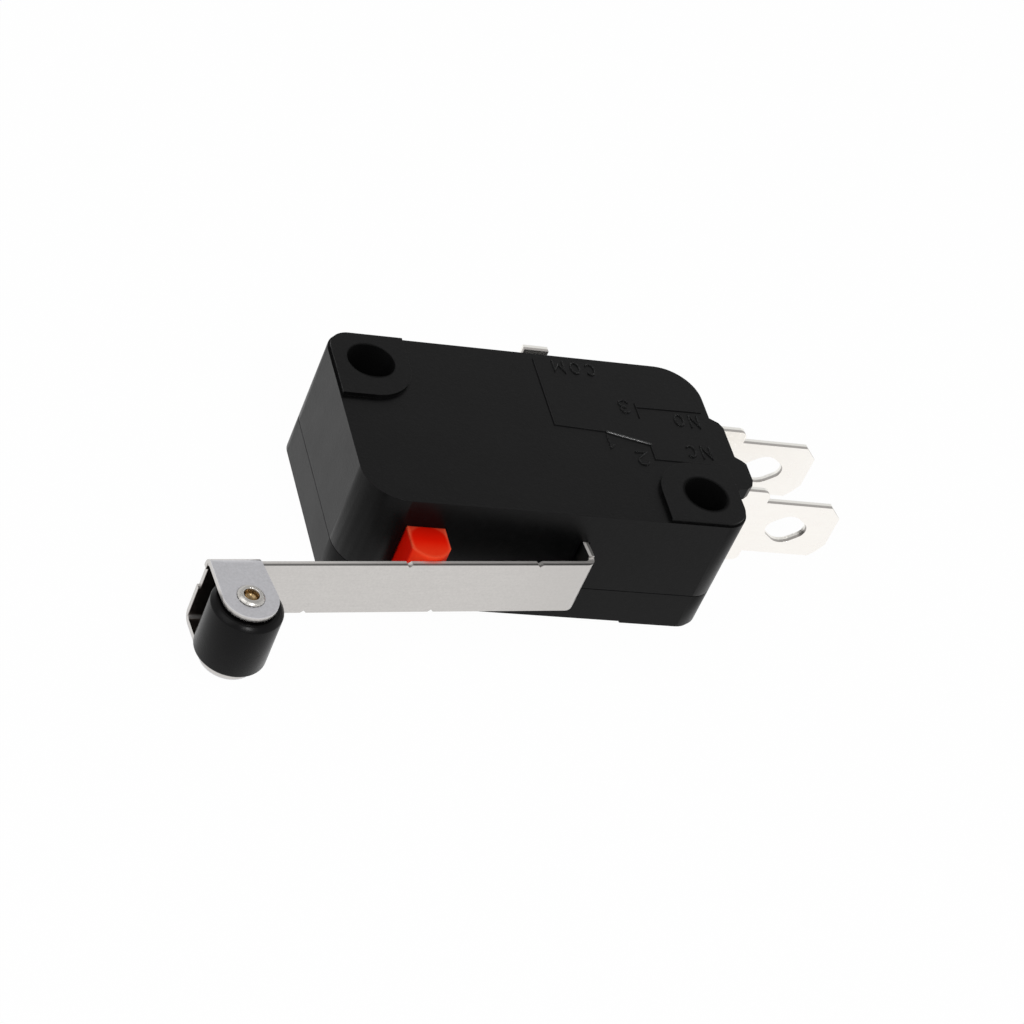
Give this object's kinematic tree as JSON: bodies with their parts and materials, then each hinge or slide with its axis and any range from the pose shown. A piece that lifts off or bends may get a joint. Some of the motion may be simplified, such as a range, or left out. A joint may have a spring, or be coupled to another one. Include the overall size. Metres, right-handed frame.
{
  "type": "lever micro switch",
  "caption": "Miniature snap-action switch in a black moulded housing, with a red plunger, a hinged steel roller lever and tab terminals.",
  "frame": {"origin": "on the axis of the round mounting hole, in the plane of the back mounting pads", "axes": "+X along the housing towards the two side tabs, +Y from the plunger face to the common-terminal face, +Z out of the marked face along the mounting holes"},
  "size_m": [0.0492, 0.0297, 0.0103],
  "materials": {
    "case_moulding": "fine moulded black",
    "cover_moulding": "fine moulded black",
    "plunger_moulding": "glossy red",
    "lever_steel": "rolled strip",
    "axle_steel": "turned and flared",
    "roller_moulding": "smooth black",
    "terminal_brass": "silver-plated strip",
    "anchor_brass": "plain strip",
    "spring_copper": "copper-alloy spring strip",
    "contact_silver": "silver"
  },
  "bodies": {
    "housing": {"case": "case_moulding", "cover": "cover_moulding", "common_terminal": "terminal_brass", "tongue_anchor": "anchor_brass", "normally_closed_terminal": "terminal_brass", "normally_closed_contact": "contact_silver", "normally_open_terminal": "terminal_brass", "normally_open_contact": "contact_silver"},
    "lever": {"lever": "lever_steel", "roller_axle": "axle_steel"},
    "roller": {"roller": "roller_moulding"},
    "plunger": {"plunger": "plunger_moulding"},
    "blade": {"snap_blade": "spring_copper", "moving_contact": "contact_silver"}
  },
  "joints": [
    {"name": "lever_hinge", "type": "hinge", "parent": "housing", "child": "lever", "pos_m": [-0.00875, -0.0022, 0.00515], "axis": [0, 0, -1], "range_deg": [0, 8], "stiffness_Nm_per_rad": 0.08, "springref_deg": -2.86},
    {"name": "roller_spin", "type": "hinge", "parent": "lever", "child": "roller", "pos_m": [-0.03377, -0.0104, 0.00515], "axis": [0, 0, 1], "continuous": true},
    {"name": "plunger_slide", "type": "slide", "parent": "housing", "child": "plunger", "axis": [0, 1, 0], "range_m": [0, 0.00165]},
    {"name": "contact_swing", "type": "hinge", "parent": "housing", "child": "blade", "pos_m": [-0.02285, 0.00453, 0.00515], "axis": [0, 0, 1], "range_deg": [0, 2.65], "deforming": ["snap_blade"]}
  ],
  "couplings": [
    {"joint": "plunger_slide", "follows": "lever_hinge", "m_per_rad": 0.011524},
    {"joint": "contact_swing", "follows": "lever_hinge", "ratio": 0.33125}
  ]
}
